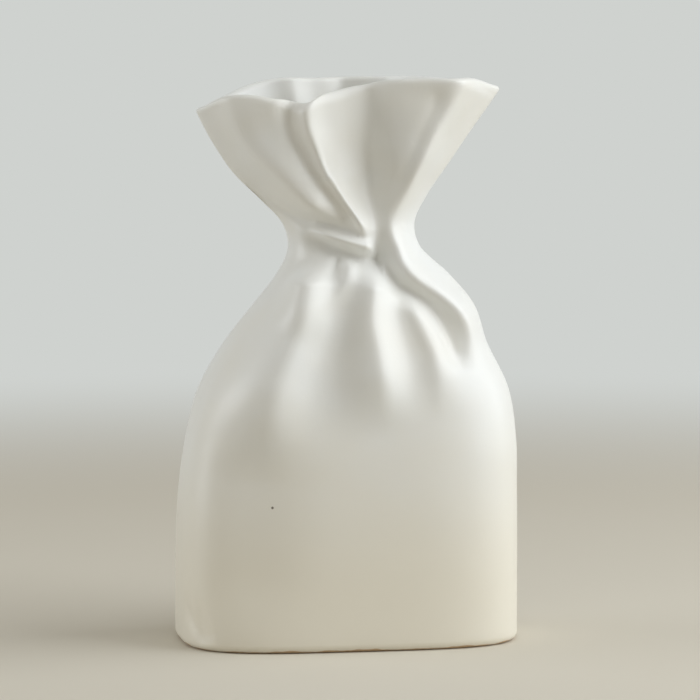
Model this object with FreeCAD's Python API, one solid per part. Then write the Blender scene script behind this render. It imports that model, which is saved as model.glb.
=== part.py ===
# Pillow vase of slip-cast, glazed ceramic, shaped like a full sack that is gathered at the neck.
# The whole vase is one fired piece: outside, rounded lip, inside, floor and foot.
# Origin at the bottom centre, front towards -Y, +X to the right, +Z up, millimetres.
import FreeCAD, Part
import math
import os
from bisect import bisect_right

# Levels of the lip's top and of the pinched neck
HEIGHT = 270.0
NECK_HEIGHT = 189.0

# Reach of the outside from the axis, to the left, to the right, and to front and back alike
BODY_LEFT_REACH = 81.6
BODY_RIGHT_REACH = 81.2
BODY_DEPTH_REACH = 50.0
NECK_LEFT_REACH = 28.0
NECK_RIGHT_REACH = 33.0
NECK_DEPTH_REACH = 25.0
MOUTH_LEFT_REACH = 73.5
MOUTH_RIGHT_REACH = 76.5
MOUTH_DEPTH_REACH = 33.0

# Rim, wall, floor and foot
RIM_DROP = 14.0
LIP_RISE = 2.3
WALL = 4.5
FLOOR = 6.0
FLOOR_ROUND = 8.0
FOOT_ROUND = 4.0
FOOT_RING_WIDTH = 9.0
FOOT_RECESS = 1.6

# Faces whose edges are nearer than this share them
SEAM = 0.001

# Folds: height of a full ridge or depth of a full groove, and half width of a full fold
FOLD_HEIGHT = 6.0
FOLD_WIDTH = 10.0

# Grid of the skin: columns around, then rows up the foot's rounding, the body, the neck's folds
# and the funnel, over the lip and round the floor, and the steps of a fold's path
COLUMNS = 84
FOOT_ROWS = 3
BODY_ROWS = 10
NECK_ROWS = 18
FUNNEL_ROWS = 9
LIP_ROWS = 3
FLOOR_ROWS = 3
PATH_STEPS = 32

# The inside has one row to this many rows of the outside
INSIDE_ROW_STEP = 2

# From the foot to the neck: height, then left, right and depth reach between the neck's (0) and
# the body's (1), then how square the section is at the front and at the sides (2 is an ellipse)
body_shares = [
    (0.000, 1.000, 1.000, 1.00, 4.0, 3.4),
    (0.093, 1.000, 1.000, 1.00, 4.0, 3.4),
    (0.229, 0.996, 1.000, 1.00, 4.0, 3.4),
    (0.386, 0.970, 1.000, 0.98, 3.8, 3.2),
    (0.514, 0.907, 0.995, 0.92, 3.5, 3.0),
    (0.643, 0.793, 0.923, 0.80, 3.2, 2.7),
    (0.757, 0.570, 0.716, 0.62, 2.8, 2.4),
    (0.857, 0.299, 0.580, 0.38, 2.5, 2.2),
    (0.929, 0.103, 0.342, 0.18, 2.3, 2.1),
    (1.000, 0.000, 0.052, 0.04, 2.1, 2.0),
]

# From the neck to the rim, in the same columns, between the neck's reach (0) and the mouth's (1)
funnel_shares = [
    (0.133, 0.055, 0.000, 0.00, 2.1, 1.90),
    (0.300, 0.286, 0.138, 0.06, 2.1, 1.70),
    (0.500, 0.560, 0.379, 0.31, 2.2, 1.40),
    (0.733, 0.780, 0.655, 0.63, 2.2, 1.20),
    (1.000, 1.000, 1.000, 1.00, 2.3, 1.15),
]

# Rim: plan angle in degrees (0 right, 90 back, 180 left, 270 front) and how far it dips there.
# The dips begin at this share of the height.
rim_drop_shares = [
    (0, 0.32), (20, 0.11), (60, 0.07), (110, 0.11), (138, 0.11), (154, 0.32), (167, 0.68),
    (180, 1.00), (204, 0.64), (228, 0.89), (262, 0.50), (292, 0.11), (325, 0.00), (347, 0.04),
]
DROP_START_SHARE = 0.72

# The rows stand closest between these levels below and above the neck
folds_start_share = 0.80
folds_end_share = 0.30

# A pointed section's wall reaches further at its corners, and the inside follows the folds less
CORNER_WALL_SHARE = 0.35
INSIDE_FOLD_SHARE = 0.90

# Folds of the front. Each has its height (below zero for a groove), its half widths left and
# right at the start, the same at the end, the stretch in which it rises, the stretch in which it
# fades, and its path downwards as shares of the body's right reach and of the height.
front_fold_shares = [
    # Funnel, from left to right: soft ridge, groove, sharp ridge, deep wide groove, corner
    (0.60, (1.0, 0.9), (0.5, 0.4), 0.30, 0.15,
     [(-0.66, 1.036), (-0.65, 0.950), (-0.60, 0.911), (-0.54, 0.876), (-0.45, 0.840), (-0.35, 0.804),
      (-0.26, 0.779), (-0.16, 0.762), (-0.06, 0.744)]),
    (-0.45, (0.9, 0.6), (0.4, 0.3), 0.15, 0.15,
     [(-0.41, 1.036), (-0.41, 0.947), (-0.39, 0.902), (-0.34, 0.876), (-0.29, 0.840), (-0.21, 0.804),
      (-0.09, 0.762), (-0.01, 0.744)]),
    (0.95, (0.4, 1.0), (0.3, 0.4), 0.15, 0.15,
     [(-0.29, 1.036), (-0.28, 0.950), (-0.26, 0.911), (-0.22, 0.876), (-0.12, 0.808), (-0.02, 0.765),
      (0.04, 0.737), (0.09, 0.715)]),
    (-2.00, (1.1, 2.2), (0.35, 0.45), 0.10, 0.35,
     [(0.08, 1.036), (0.07, 0.950), (0.06, 0.911), (0.04, 0.876), (0.04, 0.840), (0.07, 0.808),
      (0.11, 0.774), (0.15, 0.730), (0.19, 0.698)]),
    (2.20, (1.6, 0.8), (0.5, 0.45), 0.15, 0.25,
     [(0.71, 1.036), (0.63, 0.950), (0.56, 0.911), (0.51, 0.876), (0.45, 0.840), (0.37, 0.810),
      (0.29, 0.765), (0.25, 0.733), (0.25, 0.701)]),
    # Knot: groove under the soft ridge, then a ridge and a groove across the neck
    (-0.80, (0.8, 0.6), (0.35, 0.3), 0.50, 0.20,
     [(-0.65, 0.849), (-0.54, 0.812), (-0.44, 0.785), (-0.33, 0.763), (-0.21, 0.747), (-0.07, 0.735),
      (0.03, 0.724)]),
    (0.50, (0.35, 0.3), (0.35, 0.3), 0.40, 0.25,
     [(-0.27, 0.737), (-0.21, 0.730), (-0.12, 0.719), (-0.01, 0.712), (0.06, 0.705), (0.11, 0.699)]),
    (-0.60, (0.5, 0.35), (0.5, 0.35), 0.30, 0.25,
     [(-0.31, 0.719), (-0.23, 0.705), (-0.14, 0.694), (-0.04, 0.687), (0.04, 0.684), (0.12, 0.680)]),
    # Right shoulder: the ridge that goes on from the funnel's corner, and the groove under it
    (0.90, (0.4, 0.8), (0.5, 1.3), 0.25, 0.35,
     [(0.27, 0.772), (0.25, 0.747), (0.26, 0.722), (0.28, 0.701), (0.32, 0.680), (0.36, 0.660),
      (0.41, 0.641), (0.50, 0.624), (0.60, 0.596), (0.66, 0.555), (0.71, 0.495)]),
    (-0.90, (0.35, 0.3), (0.8, 0.6), 0.20, 0.25,
     [(0.14, 0.762), (0.17, 0.726), (0.20, 0.698), (0.23, 0.674), (0.27, 0.649), (0.31, 0.631),
      (0.40, 0.614), (0.51, 0.579), (0.57, 0.538), (0.62, 0.478)]),
    # Body: ridges and grooves that fan out from the knot, from left to right
    (2.00, (1.0, 1.2), (2.6, 2.0), 0.15, 0.45,
     [(-0.24, 0.687), (-0.27, 0.646), (-0.35, 0.596), (-0.45, 0.538), (-0.52, 0.461), (-0.55, 0.374),
      (-0.55, 0.304)]),
    (-0.35, (0.3, 0.3), (0.3, 0.3), 0.25, 0.35,
     [(-0.10, 0.691), (-0.11, 0.667), (-0.13, 0.646), (-0.15, 0.626)]),
    (0.40, (0.3, 0.4), (0.5, 0.6), 0.25, 0.45,
     [(0.01, 0.691), (-0.00, 0.674), (-0.02, 0.653), (-0.06, 0.629), (-0.11, 0.609), (-0.16, 0.586)]),
    (-0.40, (0.5, 0.5), (1.6, 1.6), 0.20, 0.50,
     [(0.07, 0.677), (0.02, 0.629), (-0.05, 0.579), (-0.13, 0.530), (-0.19, 0.452), (-0.21, 0.357)]),
    (1.30, (0.7, 0.9), (2.0, 1.4), 0.15, 0.45,
     [(0.17, 0.674), (0.13, 0.629), (0.09, 0.579), (0.07, 0.530), (0.07, 0.461), (0.10, 0.374)]),
    (0.55, (0.5, 0.9), (0.9, 1.4), 0.20, 0.50,
     [(0.27, 0.633), (0.31, 0.614), (0.33, 0.594), (0.38, 0.558), (0.44, 0.512), (0.48, 0.435),
      (0.50, 0.392)]),
]

# Folds of the back, in the same columns
back_fold_shares = [
    (-0.80, (1.0, 0.9), (0.6, 0.5), 0.30, 0.25,
     [(0.37, 1.06), (0.29, 0.92), (0.15, 0.81), (0.02, 0.735), (-0.02, 0.70)]),
    (0.60, (0.9, 0.9), (0.5, 0.5), 0.20, 0.25,
     [(0.06, 1.06), (0.04, 0.90), (-0.01, 0.80), (-0.03, 0.71)]),
    (-0.75, (1.0, 1.0), (0.5, 0.6), 0.30, 0.25,
     [(-0.36, 1.06), (-0.28, 0.93), (-0.19, 0.83), (-0.11, 0.76), (-0.05, 0.70)]),
    (-0.60, (0.4, 0.4), (0.4, 0.4), 0.40, 0.40,
     [(-0.30, 0.735), (-0.15, 0.715), (0.00, 0.702), (0.15, 0.709), (0.30, 0.725)]),
    (1.00, (0.7, 0.7), (1.8, 1.7), 0.20, 0.50,
     [(-0.10, 0.695), (-0.14, 0.65), (-0.20, 0.58), (-0.29, 0.49), (-0.34, 0.36)]),
    (-0.95, (0.6, 0.6), (2.0, 2.0), 0.20, 0.50,
     [(-0.01, 0.695), (0.00, 0.64), (0.01, 0.57), (0.02, 0.48), (0.02, 0.36)]),
    (0.95, (0.7, 0.7), (1.6, 1.6), 0.20, 0.50,
     [(0.08, 0.695), (0.13, 0.64), (0.22, 0.57), (0.33, 0.48), (0.40, 0.36)]),
    (-0.70, (0.6, 0.6), (1.5, 1.5), 0.25, 0.50,
     [(-0.20, 0.690), (-0.32, 0.64), (-0.44, 0.57), (-0.52, 0.47), (-0.56, 0.36)]),
    (-0.70, (0.6, 0.6), (1.4, 1.4), 0.25, 0.50,
     [(0.20, 0.690), (0.34, 0.64), (0.48, 0.56), (0.57, 0.47), (0.62, 0.37)]),
]

# A fold's cross section falls off as exp(-(distance / half width) ** FOLD_SHARPNESS), and past
# this many half widths there is nothing left of it
FOLD_SHARPNESS = 1.8
FOLD_REACH_SHARE = 2.4
# Between these sides of a fold's path its half width turns from the left one into the right one
SIDE_BLEND_SHARE = 0.3
# Above the neck the folds turn straight to the front or back within this share of the height
TURN_SHARE = 0.08
# They flatten out where the wall's level direction has less than this share of front or back in it
SIDE_LIMIT = 0.3
# A fold's path keeps this far inside the base form's corners, as a share of its reach
CORNER_LIMIT_SHARE = 0.985

# Steps of the search for a point of an outline, and how much closer the body's rows stand near its top
BISECTIONS = 40
BODY_ROW_CROWDING = 1.5


def ease(value):
    """Smooth step from 0 to 1."""
    value = min(max(value, 0), 1)
    return value * value * (3 - 2 * value)


def tangents(places, values):
    """Slope of a smooth curve at each of its stations."""
    steps = [b - a for a, b in zip(places, places[1:])]
    slopes = [[(q - p) / step for p, q in zip(a, b)] for a, b, step in zip(values, values[1:], steps)]
    inner = []
    for i in range(1, len(steps)):
        whole = steps[i - 1] + steps[i]
        inner.append([(p * steps[i] + q * steps[i - 1]) / whole for p, q in zip(slopes[i - 1], slopes[i])])
    return [slopes[0]] + inner + [slopes[-1]]


def smooth_curve(stations):
    """Function that gives the values of a smooth curve through the stations (place, value, ...)."""
    places = [row[0] for row in stations]
    values = [row[1:] for row in stations]
    slopes = tangents(places, values)

    def at(place):
        i = min(max(bisect_right(places, place) - 1, 0), len(places) - 2)
        step = places[i + 1] - places[i]
        u = min(max((place - places[i]) / step, 0), 1)
        start, start_slope = (1 + 2 * u) * (1 - u) ** 2, u * (1 - u) ** 2 * step
        end, end_slope = u * u * (3 - 2 * u), u * u * (u - 1) * step
        return [start * a + start_slope * b + end * c + end_slope * d
                for a, b, c, d in zip(values[i], slopes[i], values[i + 1], slopes[i + 1])]

    return at


def section_stations():
    """Level, left, right and depth reach, and squareness, from the foot to the rim."""
    neck = (NECK_LEFT_REACH, NECK_RIGHT_REACH, NECK_DEPTH_REACH)
    body = (BODY_LEFT_REACH, BODY_RIGHT_REACH, BODY_DEPTH_REACH)
    mouth = (MOUTH_LEFT_REACH, MOUTH_RIGHT_REACH, MOUTH_DEPTH_REACH)
    stations = []
    for shares, end, base, rise in ((body_shares, body, 0, NECK_HEIGHT),
                                    (funnel_shares, mouth, NECK_HEIGHT, HEIGHT - NECK_HEIGHT)):
        for level, left, right, depth, front_power, side_power in shares:
            reach = [a + (b - a) * share for a, b, share in zip(neck, end, (left, right, depth))]
            stations.append((base + level * rise, *reach, front_power, side_power))
    return stations


section_at = smooth_curve(section_stations())


def rim_drop_curve():
    """Function that gives the rim's drop at a plan angle in degrees."""
    turn = 360
    before = [(angle - turn, share) for angle, share in rim_drop_shares]
    after = [(angle + turn, share) for angle, share in rim_drop_shares]
    at = smooth_curve(before + list(rim_drop_shares) + after)
    return lambda angle: max(at(angle % turn)[0], 0) * RIM_DROP


rim_drop_at = rim_drop_curve()


def inside_reach(level, reach, side_power):
    """Reach of the inside where the outside has this reach: a wall's thickness less, along the wall."""
    above, below = section_at(level + WALL), section_at(level - WALL)
    slopes = [(a - b) / (2 * WALL) for a, b in zip(above, below)]
    corner = 1 + CORNER_WALL_SHARE * max(0, 2 - side_power)
    factors = (corner, corner, 1)
    return [r - WALL * f * math.hypot(1, s) for r, s, f in zip(reach, slopes, factors)]


def outline_point(angle, reach, front_power, side_power):
    """Point at a plan angle on the outline |x / a| ** p + |y / b| ** q = 1."""
    left, right, depth = reach
    c, s = math.cos(angle), math.sin(angle)
    a, b = abs(c) / (right if c > 0 else left), abs(s) / depth
    low, high = 0, 2 * max(reach)
    for _ in range(BISECTIONS):
        middle = (low + high) / 2
        if (a * middle) ** front_power + (b * middle) ** side_power > 1:
            high = middle
        else:
            low = middle
    return low * c, low * s


def outline(level, inset=0, inside=False):
    """Section of the outside or the inside at a level, drawn in by the inset."""
    *reach, front_power, side_power = section_at(level)
    if inside:
        reach = inside_reach(level, reach, side_power)
    reach = [r - inset for r in reach]
    angles = [math.pi / 2 + 2 * math.pi * i / COLUMNS for i in range(COLUMNS)]
    return [outline_point(angle, reach, front_power, side_power) for angle in angles]


class Fold:
    """One ridge or groove: a path on the base form and the height of the skin over it."""

    def __init__(self, shares, side):
        height, start, end, self.rise, self.fade, points = shares
        self.side = side
        self.height = height * FOLD_HEIGHT
        self.start = [w * FOLD_WIDTH for w in start]
        self.end = [w * FOLD_WIDTH for w in end]
        at = smooth_curve([(i, *point) for i, point in enumerate(points)])
        last = len(points) - 1
        self.points = [self.lift(*at(last * i / PATH_STEPS)) for i in range(PATH_STEPS + 1)]
        self.lengths = [math.dist(p, q) for p, q in zip(self.points, self.points[1:])]
        self.starts = [sum(self.lengths[:i]) for i in range(len(self.lengths))]
        self.reach = FOLD_REACH_SHARE * max(self.start + self.end)
        self.low = [min(values) - self.reach for values in zip(*self.points)]
        self.high = [max(values) + self.reach for values in zip(*self.points)]

    def lift(self, x_share, z_share):
        """Place on the front (side -1) or the back (side 1) of the base form."""
        x, z = x_share * BODY_RIGHT_REACH, z_share * HEIGHT
        left, right, depth, front_power, side_power = section_at(z)
        across = min(abs(x) / (right if x > 0 else left), CORNER_LIMIT_SHARE)
        return x, self.side * depth * (1 - across ** front_power) ** (1 / side_power), z

    def height_at(self, point, normal):
        """Height of the fold over a point of the base form."""
        if any(v < a or v > b for v, a, b in zip(point, self.low, self.high)):
            return 0
        best, place, turn = self.reach ** 2, None, 0
        for start, end, length, before in zip(self.points, self.points[1:], self.lengths, self.starts):
            way = [(b - a) / length for a, b in zip(start, end)]
            along = min(max(sum((v - a) * w for v, a, w in zip(point, start, way)), 0), length)
            off = [v - a - along * w for v, a, w in zip(point, start, way)]
            distance = off[0] ** 2 + off[1] ** 2 + off[2] ** 2
            if distance < best:
                best, place = distance, before + along
                turn = (normal[0] * (way[1] * off[2] - way[2] * off[1])
                        + normal[1] * (way[2] * off[0] - way[0] * off[2]))
        if place is None:
            return 0
        share = place / (self.starts[-1] + self.lengths[-1])
        left, right = [a + (b - a) * share for a, b in zip(self.start, self.end)]
        blend = SIDE_BLEND_SHARE * (left + right)
        width = left + (right - left) * ease((blend - self.side * turn) / (2 * blend))
        facing = ease(self.side * normal[1] / SIDE_LIMIT)
        strength = facing * ease(share / self.rise) * ease((1 - share) / self.fade)
        return self.height * strength * math.exp(-(math.sqrt(best) / width) ** FOLD_SHARPNESS)


FOLDS = [Fold(shares, -1) for shares in front_fold_shares] + [Fold(shares, 1) for shares in back_fold_shares]


def section_normals(points):
    """Outward level direction at each point of a section."""
    normals = []
    for i in range(len(points)):
        (ax, ay), (bx, by) = points[i - 1], points[(i + 1) % len(points)]
        length = math.hypot(bx - ax, by - ay)
        normals.append(((by - ay) / length, (ax - bx) / length))
    return normals


def wall_row(level, inset=0):
    """One row of points of the outside and of the inside at a level."""
    outer, inner = outline(level, inset), outline(level, inset, True)
    dip = ease((level / HEIGHT - DROP_START_SHARE) / (1 - DROP_START_SHARE))
    outside, inside = [], []
    # Below the neck the folds stand square on the wall, above it they turn straight to the front or back
    square = 1 - ease((level - NECK_HEIGHT) / (TURN_SHARE * HEIGHT))
    for (x, y), (u, v), normal in zip(outer, inner, section_normals(outer)):
        z = level - dip * rim_drop_at(math.degrees(math.atan2(y, x)))
        height = sum(fold.height_at((x, y, z), normal) for fold in FOLDS)
        size = max(math.hypot(normal[0] * square, normal[1]), SIDE_LIMIT)
        way_x, way_y = normal[0] * square / size, normal[1] / size
        outside.append((x + way_x * height, y + way_y * height, z))
        height *= INSIDE_FOLD_SHARE
        inside.append((u + way_x * height, v + way_y * height, z))
    return outside, inside


def spaced(start, end, count, power=1):
    """Levels from the start up to, but not at, the end, closer to the end for a power over 1."""
    return [end - (end - start) * (1 - i / count) ** power for i in range(count)]


def wall_levels():
    """Levels of the rows above the foot's rounding, closest around the neck."""
    folds_start = folds_start_share * NECK_HEIGHT
    folds_end = NECK_HEIGHT + folds_end_share * (HEIGHT - NECK_HEIGHT)
    top = HEIGHT - LIP_RISE
    return (spaced(FOOT_ROUND, folds_start, BODY_ROWS, BODY_ROW_CROWDING) + spaced(folds_start, folds_end, NECK_ROWS)
            + spaced(folds_end, top, FUNNEL_ROWS) + [top])


def rounded_rows(count, radius, row_at):
    """Rows round a quarter circle at the foot or the floor, from the flat face to the wall."""
    rows = []
    for i in range(count):
        angle = math.pi / 2 * i / count
        rows.append(row_at(radius * (1 - math.cos(angle)), radius * (1 - math.sin(angle))))
    return rows


def lip_point(outer, inner, angle):
    """Point of the lip's half round, from the outside (0) over the top to the inside (pi)."""
    share = (1 + math.cos(angle)) / 2
    x, y, z = [b + (a - b) * share for a, b in zip(outer, inner)]
    return x, y, z + LIP_RISE * math.sin(angle)


def skin_rows():
    """All rows of the skin, from the foot up the outside, over the lip and down to the floor."""
    walls = [wall_row(level) for level in wall_levels()]
    rows = rounded_rows(FOOT_ROWS, FOOT_ROUND, lambda rise, inset: wall_row(rise, inset)[0])
    rows.extend(outside for outside, inside in walls)
    for i in range(1, LIP_ROWS + 1):
        angle = math.pi * i / (LIP_ROWS + 1)
        rows.append([lip_point(a, b, angle) for a, b in zip(*walls[-1])])
    # The inside's rows end a wall's thickness above the floor's rounding, which has its own
    bottom = FLOOR + FLOOR_ROUND
    rows.extend(inside for outside, inside in walls[::-INSIDE_ROW_STEP] if inside[0][2] > bottom + WALL)
    rows.append(wall_row(bottom)[1])
    floor = rounded_rows(FLOOR_ROWS, FLOOR_ROUND, lambda rise, inset: wall_row(FLOOR + rise, inset)[1])
    return rows + floor[::-1]


def recess_rows():
    """The recess that leaves a flat ring as the foot: its edge at the bottom and its ceiling."""
    edge = outline(0, FOOT_ROUND + FOOT_RING_WIDTH)
    return [[(x, y, z) for x, y in edge] for z in (0, FOOT_RECESS)]


def band_faces(rows):
    """Triangular faces between each row and the next, split along the shorter diagonal."""
    points = [FreeCAD.Vector(*point) for row in rows for point in row]
    triangles = []
    for i in range(len(rows) - 1):
        for j in range(COLUMNS):
            a, b = i * COLUMNS + j, i * COLUMNS + (j + 1) % COLUMNS
            c, d = b + COLUMNS, a + COLUMNS
            if points[a].distanceToPoint(points[c]) < points[b].distanceToPoint(points[d]):
                triangles += [(a, b, c), (a, c, d)]
            else:
                triangles += [(a, b, d), (b, c, d)]
    shape = Part.Shape()
    shape.makeShapeFromMesh((points, triangles), SEAM)
    return shape.Faces


def level_face(*rows):
    """Flat face inside a row, less what lies inside a second row."""
    wires = [Part.makePolygon([FreeCAD.Vector(*point) for point in row + row[:1]]) for row in rows]
    return Part.makeFace(wires, "Part::FaceMakerBullseye")


def vase_body():
    """The whole vase as one solid."""
    skin, recess = skin_rows(), recess_rows()
    faces = band_faces(skin) + band_faces(recess)
    faces += [level_face(skin[0], recess[0]), level_face(recess[1]), level_face(skin[-1])]
    shell = Part.makeShell(faces)
    shell.sewShape()
    solid = Part.makeSolid(shell)
    if solid.Volume < 0:
        solid.reverse()
    return solid


os.makedirs("parts", exist_ok=True)
body = vase_body()
body.exportStep("parts/vase_body.step")
print("valid", body.isValid(), "solids", len(body.Solids), "faces", len(body.Faces), "volume", body.Volume)
print("box", body.BoundBox)
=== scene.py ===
"""Pillow vase of slip-cast, glazed ceramic, shaped like a full sack that is gathered at the neck.

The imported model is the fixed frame. The vase's skin is made again on a fine grid, with the same sizes and
with its folds drawn finer. It gets its glaze and its bare foot, and stands on a plain stage.
"""
import math

import bmesh
import bpy
import numpy as np
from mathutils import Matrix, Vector


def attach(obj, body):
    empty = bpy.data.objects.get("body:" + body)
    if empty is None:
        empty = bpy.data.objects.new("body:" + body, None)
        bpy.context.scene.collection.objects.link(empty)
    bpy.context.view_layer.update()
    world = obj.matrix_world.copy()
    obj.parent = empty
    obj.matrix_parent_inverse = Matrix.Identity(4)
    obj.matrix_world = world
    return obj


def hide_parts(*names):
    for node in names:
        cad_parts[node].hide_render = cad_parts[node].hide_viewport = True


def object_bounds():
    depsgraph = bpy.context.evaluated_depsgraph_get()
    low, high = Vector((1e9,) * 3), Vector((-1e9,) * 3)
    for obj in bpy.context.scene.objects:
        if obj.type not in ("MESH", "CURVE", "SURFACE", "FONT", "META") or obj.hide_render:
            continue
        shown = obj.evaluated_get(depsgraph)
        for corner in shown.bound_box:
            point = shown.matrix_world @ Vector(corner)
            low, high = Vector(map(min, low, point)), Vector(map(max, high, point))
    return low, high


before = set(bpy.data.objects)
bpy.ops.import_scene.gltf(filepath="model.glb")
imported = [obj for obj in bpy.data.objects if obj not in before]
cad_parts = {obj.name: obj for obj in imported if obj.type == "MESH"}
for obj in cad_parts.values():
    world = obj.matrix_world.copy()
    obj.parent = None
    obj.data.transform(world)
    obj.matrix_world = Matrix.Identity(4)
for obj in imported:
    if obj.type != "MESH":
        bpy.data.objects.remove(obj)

bl_info = {
    "name": "Pillow vase",
    "version": (1, 0, 0),
    "blender": (4, 5, 0),
    "location": "3D View > Sidebar > Vase",
    "description": "Makes a glazed vase shaped like a gathered sack, and its stage",
    "category": "Object",
}

MM = 0.001
NODE = "vase_body"
CAD_LOW, CAD_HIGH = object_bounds()

# Grid of the skin: columns around, then rows of each stretch. The inside is seen less, so of its wall
# rows only one in this many is made.
COLUMNS = 320
RECESS_ROWS = 3
FOOT_ROWS = 6
LIP_ROWS = 8
FLOOR_ROWS = 6
INSIDE_ROW_STEP = 2
# Points of the skin that are closer than this are one
SEAM = 0.0001 * MM
# Strip inside a flat end's edge that keeps its shading flat
FLAT_MARGIN = 1.0 * MM
# Steps along a fold's path, of the search for a point of an outline, and of the walk round an outline
PATH_STEPS = 48
BISECTIONS = 40
ANGLE_STEPS = 4000

# Rows of the wall: share of the height at which each stretch ends, and its number of rows
wall_rows_shares = [(0.20, 20), (0.50, 44), (0.64, 36), (0.80, 48), (1.00, 34)]

# Levels whose outlines set how the columns are spread around, so that none is much wider than another
column_levels_share = (0.22, 0.70, 0.93)

# From the foot to the neck: height, then left, right and depth reach between the neck's (0) and
# the body's (1), then how square the section is at the front and at the sides (2 is an ellipse)
body_shares = [
    (0.000, 1.000, 1.000, 1.00, 3.7, 3.2),
    (0.093, 1.000, 1.000, 1.00, 3.7, 3.2),
    (0.229, 0.996, 1.000, 1.00, 3.7, 3.2),
    (0.386, 0.970, 1.000, 0.98, 3.6, 3.1),
    (0.514, 0.907, 0.995, 0.92, 3.5, 3.0),
    (0.643, 0.793, 0.923, 0.80, 3.2, 2.7),
    (0.757, 0.570, 0.716, 0.62, 2.8, 2.4),
    (0.857, 0.299, 0.580, 0.38, 2.5, 2.2),
    (0.929, 0.103, 0.342, 0.18, 2.3, 2.1),
    (1.000, 0.000, 0.052, 0.04, 2.1, 2.0),
]

# From the neck to the rim, in the same columns, between the neck's reach (0) and the mouth's (1)
funnel_shares = [
    (0.133, 0.055, 0.000, 0.00, 2.1, 1.90),
    (0.300, 0.286, 0.138, 0.06, 2.1, 1.70),
    (0.500, 0.560, 0.379, 0.31, 2.2, 1.40),
    (0.733, 0.780, 0.655, 0.63, 2.2, 1.20),
    (1.000, 1.000, 1.000, 1.00, 2.3, 1.15),
]

# Rim: plan angle in degrees (0 right, 90 back, 180 left, 270 front) and how far it dips there, as a
# share of the deepest dip. The dips begin at this share of the height.
rim_drop_shares = [
    (0, 0.32), (20, 0.11), (60, 0.07), (110, 0.11), (138, 0.11), (154, 0.32), (167, 0.68), (180, 1.00),
    (190, 0.60), (203, 0.57), (214, 0.74), (227, 0.97), (240, 0.74), (262, 0.50), (292, 0.11), (325, 0.00),
    (347, 0.04),
]
DROP_START_SHARE = 0.72

# Lean of the lip: plan angle in degrees and how far the inside stands above the outside there, as a share
# of the wall. The lean begins at this share of the height.
lip_lean_shares = [
    (0, 0), (90, 0), (180, 0), (208, 0), (221, 0.6), (232, 0.85), (252, 0.85), (266, 0.7), (284, 0),
    (320, 0),
]
LEAN_START_SHARE = 0.93

# A pointed section's wall takes up more length at its corners, by this share of itself, and the inside
# follows the folds by this share of their height
CORNER_WALL_SHARE = 0.35
INSIDE_FOLD_SHARE = 0.90

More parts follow.
